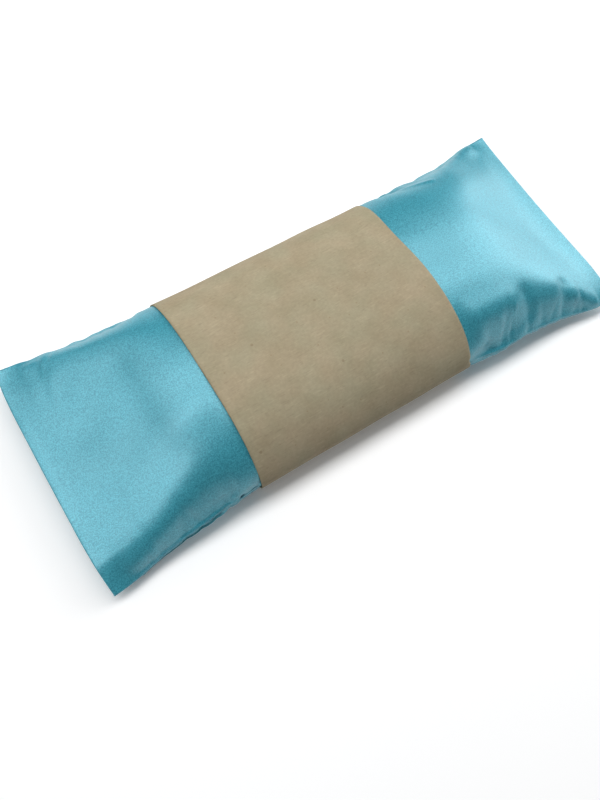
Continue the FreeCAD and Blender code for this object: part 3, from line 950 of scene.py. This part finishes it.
def cotton_material():
    cotton = Material("unbleached_cotton", 0.9, Sheen_Weight=0.15)
    threads = weave(cotton, 0.9)
    slubs = cotton.noise(1.0, 2.0, cotton.stretched((120, 1800, 600)))
    tone = cotton.ramp(slubs, (0.3, (0.6, 0.53, 0.41)), (0.7, (0.72, 0.66, 0.55)))
    # Darker where the weave's threads lie low: painted shade between the threads.
    tone = cotton.shaded(tone, threads, (0.0, 0.86), (1.0, 1.0))
    return cotton.complete(tone, threads, 0.1, 0.6)


def thread_material(name, dark, light):
    """Twisted sewing thread: the plies are fine slanting bands."""
    thread = Material(name, 0.5, Sheen_Weight=0.2)
    plies = thread.noise(1.0, 1.0, thread.stretched((2600, 1300, 2600), 0.6))
    tone = thread.ramp(plies, (0.35, dark), (0.65, light))
    return thread.complete(tone, plies, 0.04, 0.6)


def flaxseed_material():
    flax = Material("flaxseed", 0.35, Coat_Weight=0.2)
    lying = flax.stretched((1.0, 2.0, 1.6), 0.6)
    edge = flax.cells(230, "Distance", lying)
    each = flax.cells(230, "Color", lying)
    tone = flax.ramp(each, (0.1, (0.10, 0.040, 0.015)), (0.9, (0.24, 0.115, 0.045)))
    # Each seed darkens to about a third towards its edge: painted shade between the seeds.
    tone = flax.shaded(tone, edge, (0.3, 1.0), (0.75, 0.35))
    return flax.complete(tone, flax.maths("SUBTRACT", 1.0, edge), 0.8, 0.8)


def lavender_material():
    bud = Material("dried_lavender", 0.85, Sheen_Weight=0.3)
    patches = bud.noise(420, 3.0)
    hairs = bud.noise(2600)
    tone = bud.ramp(patches, (0.35, (0.085, 0.075, 0.19)), (0.7, (0.26, 0.20, 0.25)))
    tone = bud.shaded(tone, hairs, (0.3, 0.8), (0.7, 1.15))
    return bud.complete(tone, hairs, 0.05, 0.7)


def paste_material():
    paste = Material("dry_paste", 0.45)
    streaks = paste.noise(1.0, 2.0, paste.stretched((700, 90, 400)))
    tone = paste.ramp(streaks, (0.3, (0.68, 0.64, 0.52)), (0.7, (0.8, 0.77, 0.68)))
    matt = paste.ramp(streaks, (0.3, 0.35), (0.7, 0.55))
    paste.feed(paste.shader.inputs["Roughness"], matt)
    return paste.complete(tone, streaks, 0.03, 0.5)


# ---- camera, lights, floor ----
AZIMUTH, ELEVATION, ROLL = -43.2, 66.7, 11.7  # degrees
DISTANCE = 315.9  # from the camera's plane to the origin
OFFSET = (10.0, 24.4)  # how far right and up of the picture's middle the origin lies
LENS = 33.87
FLOOR_HALF = 3.0  # metres
FLOOR_LIFT = 0.1  # light of the floor where it is seen or reflected


def make_camera():
    azimuth, elevation, roll = (math.radians(a) for a in (AZIMUTH, ELEVATION, ROLL))
    back = Vector((math.sin(azimuth) * math.cos(elevation),
                   -math.cos(azimuth) * math.cos(elevation), math.sin(elevation)))
    level = Vector((0, 0, 1)).cross(back).normalized()
    upward = back.cross(level)
    right = level * math.cos(roll) + upward * math.sin(roll)
    up = upward * math.cos(roll) - level * math.sin(roll)
    place = back * DISTANCE - right * OFFSET[0] - up * OFFSET[1]
    data = bpy.data.cameras.new("camera")
    data.lens = LENS
    data.clip_start = 0.01
    camera = link("camera", data)
    camera.matrix_world = Matrix((right, up, back)).transposed().to_4x4()
    camera.location = place * MM
    bpy.context.scene.camera = camera


def make_light(name, direction, distance, size, power):
    """A rectangular light, in metres and watts, that faces the origin from a direction."""
    data = bpy.data.lights.new(name, "AREA")
    data.shape = "RECTANGLE"
    data.size, data.size_y = size
    data.energy = power
    light = link(name, data)
    toward = Vector(direction).normalized()
    level = Vector((0, 1, 0)).cross(toward).normalized()
    light.matrix_world = Matrix((level, toward.cross(level), toward)).transposed().to_4x4()
    light.location = toward * distance


def make_stage():
    """The white table, which is a little brighter where it is seen or reflected, and the room."""
    mesh = bpy.data.meshes.new("floor")
    corners = [(x * FLOOR_HALF, y * FLOOR_HALF, 0) for x, y in ((-1, -1), (1, -1), (1, 1), (-1, 1))]
    mesh.from_pydata(corners, [], [(0, 1, 2, 3)])
    floor = link("floor", mesh)
    table = Material("white_table", 0.9, Base_Color=(0.8, 0.8, 0.8, 1), Specular_IOR_Level=0.0)
    path = table.add("LightPath")
    seen = table.maths("MAXIMUM", path.outputs["Is Camera Ray"], path.outputs["Is Glossy Ray"])
    seen = table.maths("MAXIMUM", seen, path.outputs["Is Transmission Ray"])
    table.feed(table.shader.inputs["Base Color"], table.ramp(seen, (0.0, 0.8), (1.0, 1.0)))
    glow = table.add("Emission", Strength=table.maths("MULTIPLY", seen, FLOOR_LIFT))
    both = table.add("AddShader")
    table.feed(both.inputs[0], table.shader.outputs[0])
    table.feed(both.inputs[1], glow.outputs[0])
    table.feed(table.nodes["Material Output"].inputs["Surface"], both.outputs[0])
    mesh.materials.append(table.material)

    world = bpy.data.worlds.new("studio")
    world.use_nodes = True
    room = world.node_tree.nodes["Background"]
    room.inputs["Color"].default_value = (0.9, 0.95, 1.0, 1)
    room.inputs["Strength"].default_value = 0.1
    bpy.context.scene.world = world
    bpy.context.scene.view_settings.view_transform = "Standard"


make_camera()
make_light("window", (0.88, 0.14, 0.42), 0.9, (0.8, 0.5), 4.5)
make_light("ceiling", (-0.18, 0.28, 1.0), 1.0, (2.3, 0.42), 12.2)
make_light("back window", (-0.35, 0.8, 0.6), 1.0, (0.7, 0.4), 0.8)
make_stage()

satin = satin_material()
cotton = cotton_material()
cover_thread = thread_material("turquoise_thread", (0.04, 0.22, 0.32), (0.08, 0.34, 0.45))
pouch_thread = thread_material("natural_thread", (0.62, 0.57, 0.46), (0.82, 0.78, 0.68))

cover = refined(simulate_cover(), 1.0)
from_left = np.linspace(0, FLAT_LENGTH, cover.shape[1])[:, None]
from_front = np.linspace(0, FLAT_WIDTH, cover.shape[2])
from_seam = from_nearest_seam(cover)
droop_corners(cover, from_left, from_front)
fold_top(cover, from_seam)
ripple_top(cover, from_seam)
gather_seams(cover, from_left, from_front)
notch_back_seam(cover, from_left, from_front)
roll_front_seam(cover, from_left, from_front)
keep_in_paper(cover)

cover_bag = Bag(cover, FLAT_LENGTH, FLAT_WIDTH)
make_panels(cover_bag, ("cover_top_satin", "cover_underside_satin"),
            ("cover_top_panel", "cover_bottom_panel"), SATIN, satin, 1.0)
make_threads(cover_bag, ("cover_needle_stitches", "cover_bobbin_stitches"),
             ("cover_needle_thread", "cover_bobbin_thread"),
             SATIN, cover_thread, CLOSING_GAP)
make_closing_thread(cover_bag, cover_thread)

pouch = inner_bag(cover, SATIN + SATIN_LINING_GAP, POUCH_INSET, POUCH_ROUNDING, 1.5)
pouch_bag = Bag(pouch, FLAT_LENGTH - 2 * POUCH_INSET, FLAT_WIDTH - 2 * POUCH_INSET)
make_panels(pouch_bag, ("pouch_top_cotton", "pouch_underside_cotton"),
            ("pouch_top_panel", "pouch_bottom_panel"), COTTON, cotton, 2.0)
make_threads(pouch_bag, ("pouch_needle_stitches", "pouch_bobbin_stitches"),
             ("pouch_needle_thread", "pouch_bobbin_thread"),
             COTTON, pouch_thread)

seed_gap = SATIN + SATIN_LINING_GAP + COTTON + SEED_GAP
seed = inner_bag(cover, seed_gap, SEED_INSET, SEED_ROUNDING, 2.0)
make_seed(seed, flaxseed_material())
make_buds(seed, lavender_material())
make_band(kraft_material())
paste = paste_material()
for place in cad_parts["band_paste"].material_slots:
    place.material = paste
